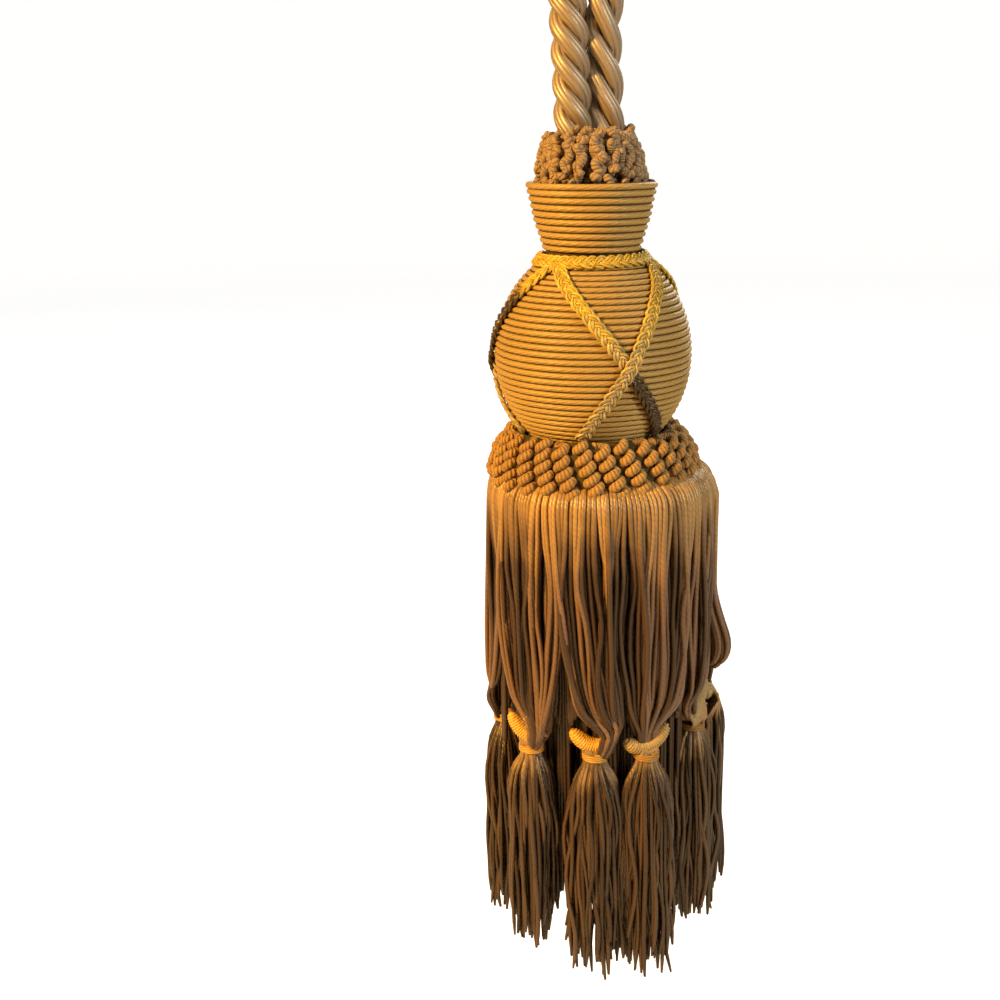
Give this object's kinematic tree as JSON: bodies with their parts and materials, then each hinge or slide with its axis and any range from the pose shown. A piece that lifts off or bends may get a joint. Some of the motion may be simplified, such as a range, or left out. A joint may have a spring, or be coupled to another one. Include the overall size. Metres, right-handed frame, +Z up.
{
  "type": "curtain tieback tassel",
  "caption": "Curtain tieback tassel: a rope loop, a cord-wound head with braided net, knotted ruffs, a corded skirt and small tassels at its hem.",
  "frame": {"origin": "inner side of the rope loop's top, where a hook bears, on the tassel's axis", "axes": "+Z up along the tassel's axis, -Y towards the front, +X to the right seen from the front"},
  "size_m": [0.0829, 0.0789, 0.4079],
  "materials": {
    "rope_yarn": "bright twisted viscose cord, satin",
    "ruff_yarn": "matt knotted cord",
    "wound_yarn": "smooth wound cord, low sheen",
    "braid_yarn": "bright plaited braid, satin",
    "skirt_yarn": "twisted fringe cord, satin",
    "thread_yarn": "fine loose threads, satin",
    "tie_yarn": "wound thread, satin"
  },
  "bodies": {
    "root": {"rope": "rope_yarn", "crown_ruff": "ruff_yarn", "wound_head": "wound_yarn", "neck_braid": "braid_yarn", "skirt_ruff": "ruff_yarn", "skirt": "skirt_yarn", "strap_front_down_right": "braid_yarn", "strap_front_down_left": "braid_yarn", "strap_right_down_right": "braid_yarn", "strap_right_down_left": "braid_yarn", "strap_back_down_right": "braid_yarn", "strap_back_down_left": "braid_yarn", "small_tassel_1": "thread_yarn", "small_tassel_2": "thread_yarn", "small_tassel_3": "thread_yarn", "small_tassel_4": "thread_yarn", "small_tassel_5": "thread_yarn", "small_tassel_6": "thread_yarn", "small_tassel_7": "thread_yarn", "small_tassel_8": "thread_yarn", "small_tassel_9": "thread_yarn", "tie_band_1": "tie_yarn", "tie_band_2": "tie_yarn", "tie_band_3": "tie_yarn", "tie_band_4": "tie_yarn", "tie_band_5": "tie_yarn", "tie_band_6": "tie_yarn", "tie_band_7": "tie_yarn", "tie_band_8": "tie_yarn", "tie_band_9": "tie_yarn"}
  },
  "joints": []
}
